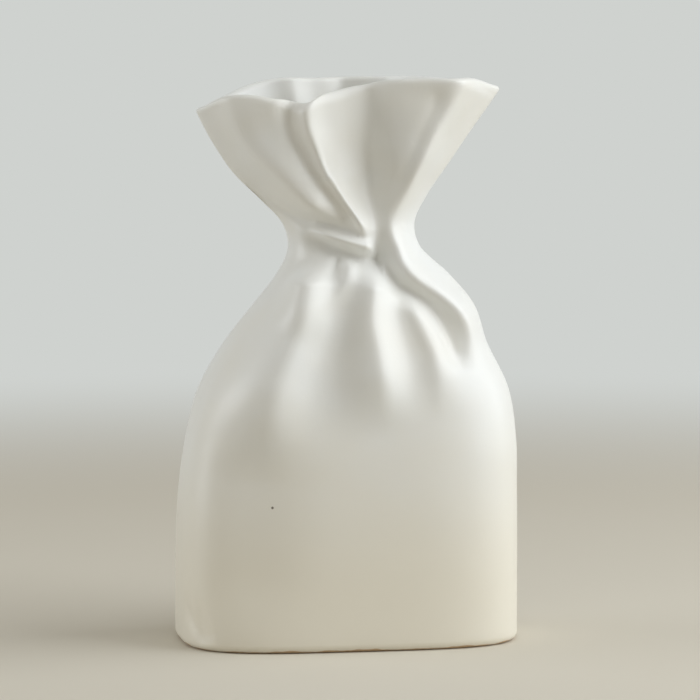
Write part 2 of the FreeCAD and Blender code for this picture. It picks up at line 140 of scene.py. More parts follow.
# Folds of the front. Each has its height as a share of a full fold's (below zero for a groove), its half
# widths left and right at the start as shares of a full fold's, the same at the end, the stretches in which
# it rises and fades as shares of its length, and its path downwards, as shares of the body's right reach and
# of the height.
front_fold_shares = [
    # Funnel, from left to right: soft ridge, groove, sharp ridge, deep wide groove, corner, and the shallow
    # groove just left of the corner
    (1.30, (1.1, 2.2), (0.5, 0.6), 0.30, 0.20,
     [(-0.71, 1.036), (-0.69, 0.950), (-0.65, 0.911), (-0.58, 0.876), (-0.46, 0.840), (-0.35, 0.804),
      (-0.26, 0.779), (-0.16, 0.762), (-0.06, 0.744)]),
    (-0.60, (0.6, 0.4), (0.3, 0.3), 0.15, 0.70,
     [(-0.39, 1.036), (-0.39, 0.947), (-0.36, 0.902), (-0.31, 0.868), (-0.25, 0.829), (-0.18, 0.790)]),
    (1.00, (0.35, 0.85), (0.25, 0.4), 0.15, 0.12,
     [(-0.32, 1.036), (-0.31, 0.950), (-0.29, 0.911), (-0.24, 0.876), (-0.19, 0.840), (-0.12, 0.808),
      (-0.02, 0.765), (0.04, 0.737), (0.09, 0.715)]),
    (-1.80, (2.8, 1.3), (0.4, 0.4), 0.10, 0.45,
     [(0.06, 1.036), (0.06, 0.950), (0.06, 0.911), (0.06, 0.876), (0.09, 0.840), (0.09, 0.808),
      (0.11, 0.774), (0.14, 0.737), (0.16, 0.708)]),
    (2.35, (2.1, 1.8), (0.5, 0.5), 0.15, 0.50,
     [(0.69, 1.036), (0.62, 0.993), (0.55, 0.950), (0.47, 0.911), (0.41, 0.876), (0.35, 0.840),
      (0.31, 0.810), (0.24, 0.765), (0.20, 0.733), (0.18, 0.701)]),
    (-0.32, (0.5, 0.6), (0.4, 0.4), 0.15, 0.30,
     [(0.49, 0.993), (0.45, 0.947), (0.39, 0.911), (0.34, 0.876), (0.29, 0.840), (0.24, 0.804),
      (0.19, 0.772)]),
    # Knot: groove under the soft ridge, then a ridge and a groove across the neck
    (-1.00, (0.8, 0.6), (0.25, 0.25), 0.45, 0.30,
     [(-0.66, 0.849), (-0.55, 0.812), (-0.45, 0.785), (-0.34, 0.763), (-0.21, 0.747), (-0.07, 0.735),
      (0.03, 0.724)]),
    (0.65, (0.35, 0.3), (0.35, 0.3), 0.35, 0.20,
     [(-0.28, 0.740), (-0.21, 0.733), (-0.12, 0.722), (-0.01, 0.710), (0.07, 0.703), (0.14, 0.696)]),
    (-0.85, (0.4, 0.35), (0.5, 0.4), 0.35, 0.06,
     [(-0.31, 0.722), (-0.23, 0.712), (-0.14, 0.701), (-0.04, 0.691), (0.07, 0.682), (0.19, 0.674)]),
    # Right shoulder: the ridge that goes on from the funnel's corner, and the groove under it
    (0.90, (0.4, 0.8), (0.5, 1.3), 0.25, 0.35,
     [(0.24, 0.772), (0.21, 0.747), (0.21, 0.722), (0.23, 0.701), (0.25, 0.680), (0.30, 0.660),
      (0.37, 0.641), (0.46, 0.624), (0.57, 0.596), (0.66, 0.555), (0.71, 0.495)]),
    (-0.90, (0.3, 0.3), (0.8, 0.6), 0.20, 0.15,
     [(0.14, 0.751), (0.15, 0.722), (0.16, 0.698), (0.19, 0.674), (0.23, 0.649), (0.29, 0.631),
      (0.38, 0.614), (0.50, 0.579), (0.57, 0.538), (0.62, 0.478)]),
    # Body: ridges and grooves that fan out from the knot, from left to right
    (1.82, (0.9, 0.7), (2.4, 1.8), 0.12, 0.45,
     [(-0.22, 0.687), (-0.24, 0.646), (-0.30, 0.592), (-0.41, 0.533), (-0.52, 0.461), (-0.58, 0.374),
      (-0.61, 0.295)]),
    (0.55, (0.8, 0.65), (1.0, 0.8), 0.25, 0.50,
     [(-0.23, 0.677), (-0.26, 0.643), (-0.33, 0.592), (-0.40, 0.547)]),
    (-0.45, (0.3, 0.3), (0.3, 0.3), 0.25, 0.60,
     [(-0.11, 0.691), (-0.12, 0.674), (-0.14, 0.656), (-0.16, 0.639)]),
    (0.55, (0.3, 0.4), (0.5, 0.6), 0.20, 0.65,
     [(-0.02, 0.691), (-0.04, 0.674), (-0.06, 0.653), (-0.10, 0.629), (-0.15, 0.609), (-0.20, 0.586)]),
    (-0.25, (0.5, 0.5), (1.6, 1.6), 0.30, 0.50,
     [(0.05, 0.677), (-0.00, 0.629), (-0.07, 0.579), (-0.13, 0.530), (-0.19, 0.452), (-0.21, 0.357)]),
    (1.40, (0.7, 0.8), (2.0, 1.3), 0.15, 0.40,
     [(0.11, 0.674), (0.07, 0.629), (0.05, 0.579), (0.07, 0.530), (0.10, 0.461), (0.14, 0.374)]),
    (0.65, (0.5, 0.9), (0.9, 1.4), 0.20, 0.50,
     [(0.27, 0.633), (0.31, 0.614), (0.33, 0.594), (0.38, 0.558), (0.44, 0.512), (0.48, 0.435),
      (0.50, 0.392)]),
    # A broad soft hollow down the left of the front
    (-0.50, (2.0, 2.0), (2.2, 2.2), 0.35, 0.30,
     [(-0.62, 0.426), (-0.65, 0.357), (-0.67, 0.269), (-0.67, 0.181), (-0.67, 0.093), (-0.66, 0.022)]),
    # Two small creases at the left corner of the foot
    (-0.22, (0.3, 0.25), (0.35, 0.3), 0.50, 0.15,
     [(-1.02, 0.118), (-1.00, 0.086), (-0.98, 0.058), (-0.94, 0.030), (-0.92, 0.005)]),
    (-0.15, (0.25, 0.25), (0.3, 0.25), 0.50, 0.15,
     [(-0.96, 0.096), (-0.94, 0.072), (-0.91, 0.044), (-0.87, 0.015)]),
]

# Folds of the back, in the same columns
back_fold_shares = [
    (-0.80, (1.0, 0.9), (0.6, 0.5), 0.30, 0.25,
     [(0.37, 1.06), (0.29, 0.92), (0.15, 0.81), (0.02, 0.735), (-0.02, 0.70)]),
    (0.60, (0.9, 0.9), (0.5, 0.5), 0.20, 0.25,
     [(0.06, 1.06), (0.04, 0.90), (-0.01, 0.80), (-0.03, 0.71)]),
    (-0.75, (1.0, 1.0), (0.5, 0.6), 0.30, 0.25,
     [(-0.36, 1.06), (-0.28, 0.93), (-0.19, 0.83), (-0.11, 0.76), (-0.05, 0.70)]),
    (-0.60, (0.4, 0.4), (0.4, 0.4), 0.40, 0.40,
     [(-0.30, 0.735), (-0.15, 0.715), (0.00, 0.702), (0.15, 0.709), (0.30, 0.725)]),
    (1.00, (0.7, 0.7), (1.8, 1.7), 0.20, 0.50,
     [(-0.10, 0.695), (-0.14, 0.65), (-0.20, 0.58), (-0.29, 0.49), (-0.34, 0.36)]),
    (-0.95, (0.6, 0.6), (2.0, 2.0), 0.20, 0.50,
     [(-0.01, 0.695), (0.00, 0.64), (0.01, 0.57), (0.02, 0.48), (0.02, 0.36)]),
    (0.95, (0.7, 0.7), (1.6, 1.6), 0.20, 0.50,
     [(0.08, 0.695), (0.13, 0.64), (0.22, 0.57), (0.33, 0.48), (0.40, 0.36)]),
    (-0.70, (0.6, 0.6), (1.5, 1.5), 0.25, 0.50,
     [(-0.20, 0.690), (-0.32, 0.64), (-0.44, 0.57), (-0.52, 0.47), (-0.56, 0.36)]),
    (-0.70, (0.6, 0.6), (1.4, 1.4), 0.25, 0.50,
     [(0.20, 0.690), (0.34, 0.64), (0.48, 0.56), (0.57, 0.47), (0.62, 0.37)]),
]

# A fold's cross section falls off as exp(-(distance / half width) ** FOLD_SHARPNESS), and past
# this many half widths there is nothing left of it
FOLD_SHARPNESS = 1.8
FOLD_REACH_SHARE = 2.4
# Between these sides of a fold's path its half width turns from the left one into the right one
SIDE_BLEND_SHARE = 0.3
# Above the neck the folds turn straight to the front or back within this share of the height
TURN_SHARE = 0.08
# They flatten out where the wall's level direction has less than this share of front or back in it
SIDE_LIMIT = 0.3
# A fold's path keeps this far inside the base form's corners, as a share of its reach
CORNER_LIMIT_SHARE = 0.985

# Glaze: widths of its clouds of thickness, of its changes of gloss, of the cast wall's broad waves and of
# its fine dimples, which are drawn a little coarser than they are so that they show
CLOUD_WIDTH = 45 * MM
GLOSS_WIDTH = 18 * MM
WAVE_WIDTH = 28 * MM
WAVE_HEIGHT = 0.25 * MM
DIMPLE_WIDTH = 1.6 * MM
DIMPLE_HEIGHT = 0.02 * MM
# It is thinner on crests, between these values of the surface's pointiness (0.5 is flat), and where the
# clouds' noise lies between the next two. The shares say how far it turns to its thin colour there.
CREST_START = 0.505
CREST_FULL = 0.60
CREST_SHARE = 0.8
CLOUD_START = 0.35
CLOUD_FULL = 0.75
CLOUD_SHARE = 0.7
# Its roughness wanders this far below and above its mean, and its dry edge adds the last value
SMOOTHER = 0.05
ROUGHER = 0.06
DRY_ROUGHER = 0.45
# Levels between which the painted warm reflection of the floor in the glaze fades from full to none
PAINTED_REFLECTION_FULL = 20 * MM
PAINTED_REFLECTION_END = 130 * MM
# Its lower edge: mean level, how far it wavers, over what length, and how soft it is
EDGE_LEVEL = 1.1 * MM
EDGE_WAVER = 0.7 * MM
EDGE_WAVER_LENGTH = 14 * MM
EDGE_FADE = 0.2 * MM
# Pinhole in the glaze, low on the left of the front
PINHOLE_X = -43.8 * MM
PINHOLE_LEVEL = 69 * MM
PINHOLE_RADIUS = 0.8 * MM
# Bare clay: its grit, drawn coarser than it is so that it shows, and the values of grit times stain
# between which it turns from dark to light
GRIT_WIDTH = 0.9 * MM
GRIT_HEIGHT = 0.08 * MM
STAIN_START = 0.1
STAIN_END = 0.4
CLAY_ROUGHNESS = 0.85
# Refraction of glaze and of fired clay
CERAMIC_IOR = 1.5

# Noise: nearly all its values lie between the first two. Over its broad layer it has one finer layer where
# it is smooth, two where it is plain and three where it is fine. Each shows by this share of the one below
# it in clouds and in grit.
NOISE_LOW = 0.3
NOISE_HIGH = 0.7
SMOOTH_LAYERS = 1.0
PLAIN_LAYERS = 2.0
FINE_LAYERS = 3.0
CLOUD_LAYER_SHARE = 0.45
GRIT_LAYER_SHARE = 0.6
# Place of the colour among the results of a mix
MIXED_COLOUR = 2

# The photograph's camera: turned to the left of the front, looking slightly down from far away
CAMERA_TURN = -10
CAMERA_RISE = 5.455
CAMERA_DISTANCE = 2150 * MM
CAMERA_AIM = Vector((4.1, 12.6, 137.6)) * MM
# In millimetres, as a camera gives them
FOCAL_LENGTH = 228.9
SENSOR_WIDTH = 36

# Lamps: name, turn to the right of the front and height above the horizon in degrees, and width and
# height of the soft box in metres. All stand at the same distance, in metres, from their common aim.
LAMPS = [
    ("key", 71, 27, (1.6, 1.6)),
    ("top", 15, 65, (1.0, 0.8)),
    ("fill", -100, 15, (0.9, 0.9)),
]
LAMP_DISTANCE = 1.5
LAMP_AIM = Vector((0, 0, 0.15))

# Round floor in metres: its radius, and the stretch in which it melts into the backdrop
FLOOR_RADIUS = 6.0
FLOOR_SIDES = 96
FLOOR_FADE_START = 0.5
FLOOR_FADE_END = 1.3
FLOOR_ROUGHNESS = 0.9


def linear(code):
    """Linear colour of an sRGB hex code, by the curve that defines sRGB."""
    values = [int(code[i:i + 2], 16) / 255 for i in (1, 3, 5)]
    return [v / 12.92 if v <= 0.04045 else ((v + 0.055) / 1.055) ** 2.4 for v in values]


def length(name, description, metres):
    """Setting that holds a length."""
    return bpy.props.FloatProperty(name=name, description=description, default=metres, min=0, unit="LENGTH")


def colour(name, description, code):
    """Setting that holds a colour, given as an sRGB hex code."""
    return bpy.props.FloatVectorProperty(
        name=name, description=description, default=linear(code), min=0, max=1, subtype="COLOR", size=3)


def share(name, description, value):
    """Setting that holds a share between 0 and 1."""
    return bpy.props.FloatProperty(
        name=name, description=description, default=value, min=0, max=1, subtype="FACTOR")


def watts(name, value):
    """Setting that holds a lamp's power."""
    return bpy.props.FloatProperty(
        name=name, description=name + "'s power", default=value, min=0, unit="POWER")


class VaseSizes(bpy.types.PropertyGroup):
    """Sizes of the vase."""

    height: length("Height", "Level of the lip's highest point", CAD_HIGH.z)
    neck_height: length("Neck height", "Level of the pinched neck", 189 * MM)
    body_left: length("Body left", "Reach of the body to the left", 81.58 * MM)
    body_right: length("Body right", "Reach of the body to the right", 81.17 * MM)
    body_depth: length("Body depth", "Reach of the body to the front and the back", 49.97 * MM)
    neck_left: length("Neck left", "Reach of the neck to the left", 28 * MM)
    neck_right: length("Neck right", "Reach of the neck to the right", 33 * MM)
    neck_depth: length("Neck depth", "Reach of the neck to the front and the back", 25 * MM)
    mouth_left: length("Mouth left", "Reach of the mouth to the left", 73.5 * MM)
    mouth_right: length("Mouth right", "Reach of the mouth to the right", 76.5 * MM)
    mouth_depth: length("Mouth depth", "Reach of the mouth to the front and the back", 33 * MM)
    rim_drop: length("Rim drop", "Deepest dip of the rim", 14 * MM)
    lip_rise: length("Lip rise", "Height of the lip's half round", 2.3 * MM)
    wall: length("Wall", "Thickness of the wall", 4.5 * MM)
    floor: length("Floor", "Thickness of the floor", 6 * MM)
    floor_round: length("Floor round", "Radius between the wall and the floor inside", 8 * MM)
    foot_round: length("Foot round", "Radius between the foot and the wall", 4 * MM)
    foot_ring: length("Foot ring", "Width of the flat ring that the vase stands on", 9 * MM)
    foot_recess: length("Foot recess", "Depth of the recess inside the ring", 1.6 * MM)
    fold_height: length("Fold height", "Height of a full ridge or depth of a full groove", 6 * MM)
    fold_width: length("Fold width", "Half width of a full fold", 10 * MM)


class VaseFinish(bpy.types.PropertyGroup):
    """Colours and gloss of the glaze and of the bare clay."""

    glaze: colour("Glaze", "Satin white glaze", "#ECEDEB")
    thin_glaze: colour("Thin glaze", "Glaze where it lies thinner and the clay warms it", "#EBE9E1")
    # Painted warm reflection of the floor, which the glaze takes on towards the foot
    painted_floor_reflection: colour("Painted floor reflection", "Painted warm reflection of the floor in the glaze towards the foot", "#EBE6D8")
    clay: colour("Bare clay", "Fired clay that shows at the foot", "#C9AE8C")
    damp_clay: colour("Darker clay", "Fired clay where it is darker", "#B4967A")
    # The pinhole's dark colour is painted shade of its pit
    pinhole: colour("Pinhole", "Speck where the glaze did not close", "#6E665A")
    roughness: share("Roughness", "Roughness of the satin glaze", 0.36)


class VaseStage(bpy.types.PropertyGroup):
    """Plain stage, its lamps and its backdrop."""

    floor: colour("Floor", "Plain pale floor", "#D6D0C2")
    backdrop: colour("Backdrop", "Plain pale backdrop", "#CFD2CF")
    lamp_colour: colour("Lamp colour", "Daylight of the lamps", "#F5FAFF")
    sky_colour: colour("Sky colour", "Even light, warmed by the walls of the room", "#FFF8EA")
    key: watts("Key lamp", 21.5)
    top: watts("Top lamp", 3)
    fill: watts("Fill lamp", 7)
    sky: share("Sky", "Strength of the even light from all round", 0.315)


def ease(value):
    """Smooth step from 0 to 1."""
    value = np.clip(value, 0, 1)
    return value * value * (3 - 2 * value)


def smooth_curve(stations):
    """Function that gives the values of a smooth curve through the stations (place, value, ...)."""
    table = np.array(stations, float)
    places, values = table[:, 0], table[:, 1:]
    steps = np.diff(places)[:, None]
    slopes = np.diff(values, axis=0) / steps
    inner = (slopes[1:] * steps[:-1] + slopes[:-1] * steps[1:]) / (steps[:-1] + steps[1:])
    tangents = np.concatenate([slopes[:1], inner, slopes[-1:]])

    def at(place):
        i = np.clip(np.searchsorted(places, place, side="right") - 1, 0, len(places) - 2)
        step = steps[i]
        u = np.clip((place - places[i])[..., None] / step, 0, 1)
        start, start_slope = (1 + 2 * u) * (1 - u) ** 2, u * (1 - u) ** 2 * step
        end, end_slope = u * u * (3 - 2 * u), u * u * (u - 1) * step
        here = start * values[i] + start_slope * tangents[i]
        return here + end * values[i + 1] + end_slope * tangents[i + 1]

    return at


def section_stations(sizes):
    """Level, left, right and depth reach, and squareness, from the foot to the rim."""
    neck = np.array([sizes.neck_left, sizes.neck_right, sizes.neck_depth])
    body = np.array([sizes.body_left, sizes.body_right, sizes.body_depth])
    mouth = np.array([sizes.mouth_left, sizes.mouth_right, sizes.mouth_depth])
    below = (body_shares, body, 0, sizes.neck_height)
    above = (funnel_shares, mouth, sizes.neck_height, sizes.height - sizes.neck_height)
    stations = []
    for shares, end, base, rise in (below, above):
        for level, left, right, depth, front_power, side_power in shares:
            reach = neck + (end - neck) * np.array((left, right, depth))
            stations.append((base + level * rise, *reach, front_power, side_power))
    return stations


class Fold:
    """One ridge or groove: a path on the base form and the height of the skin over it."""

    def __init__(self, shape, shares, side):
        height, start, end, self.rise, self.fade, points = shares
        sizes = shape.sizes
        self.side = side
        self.height = height * sizes.fold_height
        self.start = np.array(start) * sizes.fold_width
        self.end = np.array(end) * sizes.fold_width
        at = smooth_curve([(i, *point) for i, point in enumerate(points)])
        shares = at(np.linspace(0, len(points) - 1, PATH_STEPS + 1))
        self.points = shape.lift(shares[:, 0] * sizes.body_right, shares[:, 1] * sizes.height, side)
        self.lengths = np.linalg.norm(np.diff(self.points, axis=0), axis=1)
        self.reach = FOLD_REACH_SHARE * max(*self.start, *self.end)

    def nearest(self, points, normals):
        """Distance to the path, how far along it that place is, as a share, and how far to its right."""
        best = np.full(len(points), np.inf)
        place = np.zeros(len(points))
        turn = np.zeros(len(points))
        before = 0
        for start, end, size in zip(self.points, self.points[1:], self.lengths):
            way = (end - start) / size
            along = np.clip((points - start) @ way, 0, size)
            off = points - start - along[:, None] * way
            distance = np.einsum("ij,ij->i", off, off)
            closer = distance < best
            best[closer] = distance[closer]
            place[closer] = before + along[closer]
            turn[closer] = np.einsum("ij,ij->i", normals[closer], np.cross(way, off[closer]))
            before += size
        return np.sqrt(best), place / before, -self.side * turn

    def heights(self, points, normals):
        """Height of the fold over points of the base form."""
        low, high = self.points.min(0) - self.reach, self.points.max(0) + self.reach
        near = np.all((points > low) & (points < high), axis=-1)
        distance, place, turn = self.nearest(points[near], normals[near])
        left, right = (self.start + (self.end - self.start) * place[:, None]).T
        blend = SIDE_BLEND_SHARE * (left + right)
        width = left + (right - left) * ease((blend + turn) / (2 * blend))
        facing = ease(self.side * normals[near][:, 1] / SIDE_LIMIT)
        strength = facing * ease(place / self.rise) * ease((1 - place) / self.fade)
        heights = np.zeros(points.shape[:-1])
        heights[near] = self.height * strength * np.exp(-(distance / width) ** FOLD_SHARPNESS)
        return heights


class VaseShape:
    """The vase's surface, worked out from its sizes."""

    def __init__(self, sizes):
        self.sizes = sizes
        self.section = smooth_curve(section_stations(sizes))
        # The tables of angles are laid three times in a row, so that their curves close smoothly
        self.rim_drop, self.lip_lean = (
            smooth_curve([(angle + turn, value) for turn in (-360, 0, 360) for angle, value in shares])
            for shares in (rim_drop_shares, lip_lean_shares))
        self.angles = self.spread_columns()
        self.folds = [Fold(self, shares, -1) for shares in front_fold_shares]
        self.folds += [Fold(self, shares, 1) for shares in back_fold_shares]

    def reach(self, levels, inside=False):
        """Left, right and depth reach, then the squareness of the front and the sides."""
        at = self.section(levels)
        if inside:
            wall = self.sizes.wall
            slopes = (self.section(levels + wall) - self.section(levels - wall))[..., :3] / (2 * wall)
            corner = 1 + CORNER_WALL_SHARE * np.maximum(0, 2 - at[..., 4])
            factors = np.stack([corner, corner, np.ones_like(corner)], -1)
            at[..., :3] -= wall * factors * np.hypot(1, slopes)
        return at

    def outline(self, angles, levels, inset=0, inside=False):
        """Points at plan angles on the outlines |x / a| ** p + |y / b| ** q = 1."""
        at = self.reach(levels, inside)
        c, s = np.cos(angles), np.sin(angles)
        a = np.abs(c) / (np.where(c > 0, at[..., 1], at[..., 0]) - inset)
        b = np.abs(s) / (at[..., 2] - inset)
        low, high = np.zeros_like(a), np.full_like(a, 2 * self.sizes.body_left)
        for _ in range(BISECTIONS):
            middle = (low + high) / 2
            out = (a * middle) ** at[..., 3] + (b * middle) ** at[..., 4] > 1
            low, high = np.where(out, low, middle), np.where(out, middle, high)
        return np.stack([low * c, low * s], -1)

    def spread_columns(self):
        """Plan angles of the columns, from the back round the left, spread evenly along the outlines."""
        angles = np.linspace(0, 2 * math.pi, ANGLE_STEPS + 1) + math.pi / 2
        total = np.zeros(ANGLE_STEPS)
        for level in column_levels_share:
            points = self.outline(angles, np.full_like(angles, level * self.sizes.height))
            steps = np.linalg.norm(np.diff(points, axis=0), axis=1)
            total += steps / steps.sum()
        way = np.concatenate([[0], np.cumsum(total / total.sum())])
        return np.interp(np.linspace(0, 1, COLUMNS, endpoint=False), way, angles)

    def lift(self, x, z, side):
        """Places on the front (side -1) or the back (side 1) of the base form."""
        at = self.section(z)
        across = np.minimum(np.abs(x) / np.where(x > 0, at[:, 1], at[:, 0]), CORNER_LIMIT_SHARE)
        return np.stack([x, side * at[:, 2] * (1 - across ** at[:, 3]) ** (1 / at[:, 4]), z], -1)

    def walls(self, levels, insets=0):
        """Rings of the outside and of the inside at the levels."""
        levels, angles = np.meshgrid(np.asarray(levels, float), self.angles, indexing="ij")
        inset = np.broadcast_to(np.reshape(insets, (-1, 1)), levels.shape)
        outer, inner = (self.outline(angles, levels, inset, inside) for inside in (False, True))
        along = np.roll(outer, -1, axis=1) - np.roll(outer, 1, axis=1)
        normals = np.stack([along[..., 1], -along[..., 0], np.zeros_like(levels)], -1)
        normals /= np.linalg.norm(normals, axis=-1, keepdims=True)
        dip = ease((levels / self.sizes.height - DROP_START_SHARE) / (1 - DROP_START_SHARE))
        drop = np.maximum(self.rim_drop(np.degrees(angles) % 360)[..., 0], 0)
        z = levels - dip * drop * self.sizes.rim_drop
        rise = ease((levels / self.sizes.height - LEAN_START_SHARE) / (1 - LEAN_START_SHARE))
        lean = np.maximum(self.lip_lean(np.degrees(angles) % 360)[..., 0], 0) * rise * self.sizes.wall
        outside = np.concatenate([outer, z[..., None]], -1)
        inside = np.concatenate([inner, (z + lean)[..., None]], -1)
        flat, flat_normals = outside.reshape(-1, 3), normals.reshape(-1, 3)
        heights = sum(fold.heights(flat, flat_normals) for fold in self.folds).reshape(levels.shape + (1,))
        # Below the neck the folds stand square on the wall, above it they turn straight to the front or back
        normals[..., 0] *= 1 - ease((levels - self.sizes.neck_height) / (TURN_SHARE * self.sizes.height))
        normals /= np.maximum(np.linalg.norm(normals, axis=-1, keepdims=True), SIDE_LIMIT)
        return outside + normals * heights, inside + normals * heights * INSIDE_FOLD_SHARE

    def wall_levels(self):
        """Levels of the wall's rows from the foot's rounding to the lip."""
        bottom, top = self.sizes.foot_round, self.sizes.height - self.sizes.lip_rise
        levels = []
        start = bottom
        for end_share, rows in wall_rows_shares:
            end = bottom + (top - bottom) * end_share
            levels.extend(np.linspace(start, end, rows, endpoint=False))
            start = end
        return np.array(levels + [top])


def rounded(count, radius):
    """Rises and insets round a quarter circle, from a flat face up to a wall."""
    angles = np.linspace(0, math.pi / 2, count, endpoint=False)
    return radius * (1 - np.cos(angles)), radius * (1 - np.sin(angles))


def recess_rings(shape):
    """Rings of the recess under the foot, from its ceiling out over its edge onto the flat ring."""
    sizes = shape.sizes
    edge = sizes.foot_round + sizes.foot_ring
    round_off = sizes.foot_recess / 2
    steps = [(edge + FLAT_MARGIN, sizes.foot_recess)]
    # The recess's side is two quarter rounds, first round its ceiling and then over the ring's edge
    for i in range(RECESS_ROWS + 1):
        angle = math.pi / 2 * i / RECESS_ROWS
        steps.append((edge + round_off * (1 - math.sin(angle)), round_off * (1 + math.cos(angle))))
    for i in range(RECESS_ROWS + 1):
        angle = math.pi / 2 * i / RECESS_ROWS
        steps.append((edge - round_off * (1 - math.cos(angle)), round_off * (1 - math.sin(angle))))
    rings = []
    for inset, level in steps:
        outline = shape.outline(shape.angles, np.zeros_like(shape.angles), inset)
        rings.append(np.column_stack([outline, np.full(COLUMNS, level)]))
    return rings


def skin_rings(shape):
    """All rings of the skin with the finish of the band above each, from under the foot to the floor."""
    sizes = shape.sizes
    rings = [(ring, "clay") for ring in recess_rings(shape)]
    rises, insets = rounded(FOOT_ROWS, sizes.foot_round)
    foot = shape.walls(rises, insets)[0]
    rings += [(ring, "clay" if i == 0 else "glaze") for i, ring in enumerate(foot)]
    levels = shape.wall_levels()
    outside, inside = shape.walls(levels)
    rings += [(ring, "glaze") for ring in outside]
    # The lip is a half round between the tops of the wall's two sides
    for i in range(1, LIP_ROWS + 1):
        angle = math.pi * i / (LIP_ROWS + 1)
        ring = (outside[-1] + inside[-1]) / 2 + (outside[-1] - inside[-1]) / 2 * math.cos(angle)
        ring[:, 2] += sizes.lip_rise * math.sin(angle)
        rings.append((ring, "glaze"))
    # Down the inside of the wall, then round into the floor
    bottom = sizes.floor + sizes.floor_round
    kept = np.flatnonzero(levels > bottom + sizes.wall)[::-1][::INSIDE_ROW_STEP]
    rings += [(inside[i], "glaze") for i in kept]
    rises, insets = rounded(FLOOR_ROWS, sizes.floor_round)
    rises, insets = np.append(rises, sizes.floor_round), np.append(insets, 0)
    floor = shape.walls(sizes.floor + rises, insets)[1]
    rings += [(ring, "glaze") for ring in floor[::-1]]
    rings.append((shape.walls([sizes.floor], sizes.floor_round + FLAT_MARGIN)[1][0], "glaze"))
    return rings


def skin_mesh(name, rings, slots):
    """Wrap a grid round the rings, join its seam and close its two ends."""
    bm = bmesh.new()
    bmesh.ops.create_grid(bm, x_segments=COLUMNS, y_segments=len(rings) - 1, size=1)
    bm.verts.ensure_lookup_table()
    bm.faces.ensure_lookup_table()
    for i, (ring, finish) in enumerate(rings):
        for j in range(COLUMNS + 1):
            bm.verts[i * (COLUMNS + 1) + j].co = ring[j % COLUMNS]
        for j in range(COLUMNS if i < len(rings) - 1 else 0):
            bm.faces[i * COLUMNS + j].material_index = slots.index(finish)
    bmesh.ops.remove_doubles(bm, verts=bm.verts, dist=SEAM)
    ends = bmesh.ops.holes_fill(bm, edges=[edge for edge in bm.edges if edge.is_boundary], sides=0)["faces"]
    under, inside = sorted(ends, key=lambda face: face.calc_center_median().z)
    under.material_index = slots.index("clay")
    inside.material_index = slots.index("glaze")
    bmesh.ops.recalc_face_normals(bm, faces=bm.faces)
    for face in bm.faces:
        face.smooth = True
    mesh = bpy.data.meshes.new(name)
    bm.to_mesh(mesh)
    bm.free()
    return mesh


def add_node(tree, kind, settings=None, **inputs):
    """Add a node, set what it is set to, and give each input its value or the output that feeds it.

    An input is named with _ for a blank, or by its number, as in _0. A mix's two colours are _6 and _7.
    """
    node = tree.nodes.new("ShaderNode" + kind)
    for key, value in (settings or {}).items():
        setattr(node, key, value)
    for key, value in inputs.items():
        socket = node.inputs[int(key[1:])] if key[1:].isdigit() else node.inputs[key.replace("_", " ")]
        if isinstance(value, bpy.types.NodeSocket):
            tree.links.new(value, socket)
        else:
            socket.default_value = value
    return node


def new_material(name):
    """Material with an empty node tree and its output."""
    material = bpy.data.materials.new(name)
    material.use_nodes = True
    tree = material.node_tree
    tree.nodes.clear()
    return material, tree, tree.nodes.new("ShaderNodeOutputMaterial")


